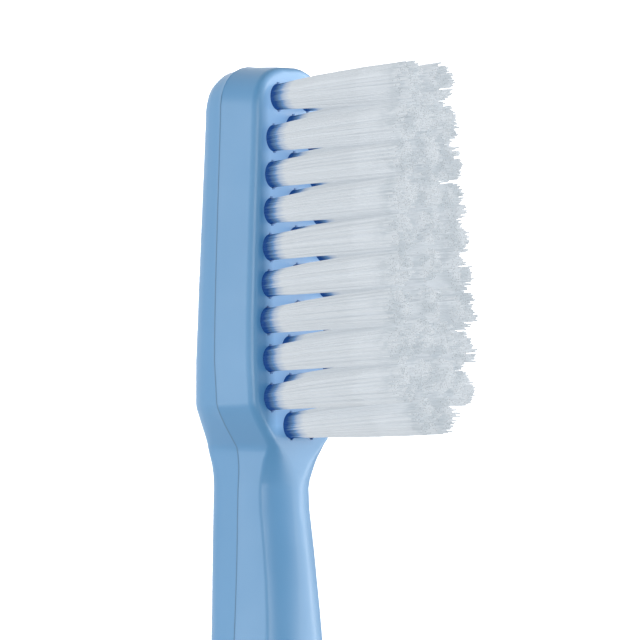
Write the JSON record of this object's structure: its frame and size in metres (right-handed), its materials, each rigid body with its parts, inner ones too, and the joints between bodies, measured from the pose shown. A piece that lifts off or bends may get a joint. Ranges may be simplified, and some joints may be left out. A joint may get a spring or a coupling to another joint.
{
  "type": "manual toothbrush",
  "caption": "Manual toothbrush with a light blue moulded handle, a narrow neck and a tapered head of flat-trimmed white filament tufts.",
  "frame": {"origin": "middle of the brush's length and width, on the plane of its flat back", "axes": "+X along the brush towards the tip of the head, +Z away from the flat back, along the filaments"},
  "size_m": [0.18, 0.0124, 0.0171],
  "materials": {
    "handle": "satin moulded polypropylene",
    "filament": "translucent nylon filament",
    "anchor": "rolled nickel silver wire"
  },
  "bodies": {
    "root": {"handle": "handle", "tuft_row_01_1": "filament", "tuft_row_01_2": "filament", "tuft_row_02_1": "filament", "tuft_row_02_2": "filament", "tuft_row_02_3": "filament", "tuft_row_03_1": "filament", "tuft_row_03_2": "filament", "tuft_row_03_3": "filament", "tuft_row_04_1": "filament", "tuft_row_04_2": "filament", "tuft_row_04_3": "filament", "tuft_row_05_1": "filament", "tuft_row_05_2": "filament", "tuft_row_05_3": "filament", "tuft_row_06_1": "filament", "tuft_row_06_2": "filament", "tuft_row_06_3": "filament", "tuft_row_07_1": "filament", "tuft_row_07_2": "filament", "tuft_row_07_3": "filament", "tuft_row_08_1": "filament", "tuft_row_08_2": "filament", "tuft_row_08_3": "filament", "tuft_row_08_4": "filament", "tuft_row_09_1": "filament", "tuft_row_09_2": "filament", "tuft_row_09_3": "filament", "tuft_row_09_4": "filament", "tuft_row_10_1": "filament", "tuft_row_10_2": "filament", "anchors_row_01": "anchor", "anchors_row_02": "anchor", "anchors_row_03": "anchor", "anchors_row_04": "anchor", "anchors_row_05": "anchor", "anchors_row_06": "anchor", "anchors_row_07": "anchor", "anchors_row_08": "anchor", "anchors_row_09": "anchor", "anchors_row_10": "anchor"}
  },
  "joints": []
}
